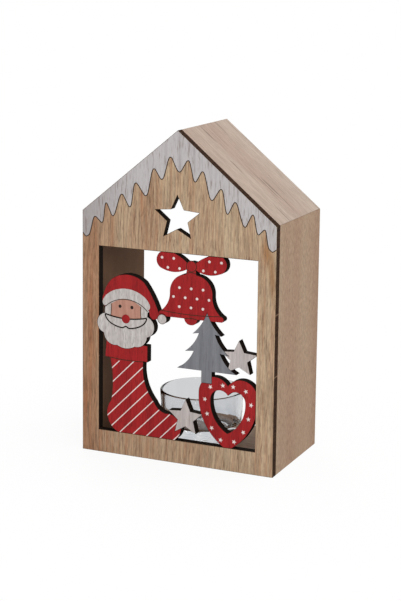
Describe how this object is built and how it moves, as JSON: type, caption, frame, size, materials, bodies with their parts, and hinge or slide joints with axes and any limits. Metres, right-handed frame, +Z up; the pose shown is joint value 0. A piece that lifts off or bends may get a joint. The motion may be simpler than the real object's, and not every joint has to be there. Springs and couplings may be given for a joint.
{
  "type": "tealight house",
  "caption": "Small wooden house lantern with an open back, festive cut-out figures in its front window, a pierced gable star and a loose glass cup for a tealight.",
  "frame": {"origin": "middle of the ground that the house covers, at the height of its underside", "axes": "+Z up, -Y towards the pierced front, +Y out of the open back, +X to the right seen from the front"},
  "size_m": [0.12, 0.069, 0.192],
  "materials": {
    "front_wood": "fine open grain, bare, edges scorched by the laser",
    "wall_wood": "fine plain grain, bare",
    "roof_wood": "fine grain down the slope, bare",
    "floor_wood": "plain, bare",
    "red_painted_wood": "matt red paint with the grain showing, white pattern",
    "grey_painted_wood": "matt grey paint with the grain showing",
    "whitewashed_wood": "thin matt white wash with the grain showing",
    "clear_glass": "clear pressed glass"
  },
  "bodies": {
    "house": {"front_board": "front_wood", "left_wall": "wall_wood", "right_wall": "wall_wood", "left_roof_board": "roof_wood", "right_roof_board": "roof_wood", "floor_board": "floor_wood", "bearded_head": "whitewashed_wood", "dotted_bell": "red_painted_wood", "striped_stocking": "red_painted_wood", "starred_heart": "red_painted_wood", "grey_fir_tree": "grey_painted_wood", "upper_star": "whitewashed_wood", "lower_star": "whitewashed_wood"},
    "cup": {"glass_cup": "clear_glass"}
  },
  "joints": [
    {"name": "cup_out_of_back", "type": "slide", "parent": "house", "child": "cup", "axis": [0, 1, 0], "range_m": [0, 0.065]}
  ]
}
